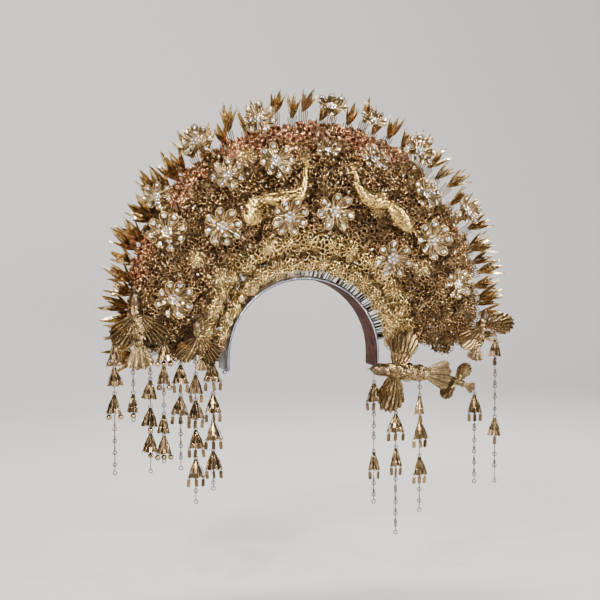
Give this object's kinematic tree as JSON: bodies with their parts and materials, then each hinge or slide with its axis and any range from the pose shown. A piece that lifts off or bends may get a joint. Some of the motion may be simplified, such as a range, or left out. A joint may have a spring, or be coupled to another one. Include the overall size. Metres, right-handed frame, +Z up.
{
  "type": "bridal crown",
  "caption": "Arched bridal crown: a U-shaped head band with radiating rows of wire flowers, crystal flowers, peacocks, stamped birds and hanging strands of bell caps.",
  "frame": {"origin": "where the crown rests on the head: the underside of the band lining at the top of the arch, halfway through the band's depth", "axes": "+Z up along the arch's height, -Y is the front that faces the viewer, +X to the viewer's right"},
  "size_m": [0.4384, 0.1161, 0.4651],
  "materials": {
    "polished_steel": "polished spring steel strip",
    "brown_lining": "matt reddish-brown lining",
    "bright_gilt": "bright gilt wirework",
    "aged_bronze": "gilt wirework with a dark patina",
    "copper_gilt": "copper-pink gilding",
    "rim_gilt": "gilt stamped sheet",
    "crystal_bronze": "grey-gold wire with clear cut stones",
    "peacock_gilt": "granulated gilt sheet",
    "bird_gilt": "ribbed gilt sheet",
    "strand_gilt": "fluted gilt sheet and wire"
  },
  "bodies": {
    "root": {"head_band": "polished_steel", "band_lining": "brown_lining", "gold_row_1_left": "bright_gilt", "gold_row_1_right": "bright_gilt", "gold_row_2_left": "bright_gilt", "gold_row_2_right": "bright_gilt", "bronze_row_1_left": "aged_bronze", "bronze_row_1_right": "aged_bronze", "bronze_row_2_left": "aged_bronze", "bronze_row_2_right": "aged_bronze", "bronze_row_3_left": "aged_bronze", "bronze_row_3_right": "aged_bronze", "copper_row_left": "copper_gilt", "copper_row_right": "copper_gilt", "spike_row_left": "rim_gilt", "spike_row_right": "rim_gilt", "crystal_flower_01": "crystal_bronze", "crystal_flower_02": "crystal_bronze", "crystal_flower_03": "crystal_bronze", "crystal_flower_04": "crystal_bronze", "crystal_flower_05": "crystal_bronze", "crystal_flower_06": "crystal_bronze", "crystal_flower_07": "crystal_bronze", "crystal_flower_08": "crystal_bronze", "crystal_flower_09": "crystal_bronze", "crystal_flower_10": "crystal_bronze", "crystal_flower_11": "crystal_bronze", "crystal_flower_12": "crystal_bronze", "crystal_flower_13": "crystal_bronze", "crystal_flower_14": "crystal_bronze", "crystal_flower_15": "crystal_bronze", "crystal_flower_16": "crystal_bronze", "crystal_flower_17": "crystal_bronze", "crystal_flower_18": "crystal_bronze", "crystal_flower_19": "crystal_bronze", "crystal_flower_20": "crystal_bronze", "peacock_left": "peacock_gilt", "peacock_right": "peacock_gilt", "bird_outer_left": "bird_gilt", "bird_inner_left": "bird_gilt", "bird_inner_right": "bird_gilt", "bird_outer_right": "bird_gilt", "bird_small_right": "bird_gilt", "strand_left_1": "strand_gilt", "strand_left_2": "strand_gilt", "strand_left_3": "strand_gilt", "strand_left_4": "strand_gilt", "strand_left_5": "strand_gilt", "strand_left_6": "strand_gilt", "strand_left_7": "strand_gilt", "strand_right_1": "strand_gilt", "strand_right_2": "strand_gilt", "strand_right_3": "strand_gilt", "strand_right_4": "strand_gilt", "strand_right_5": "strand_gilt"}
  },
  "joints": []
}
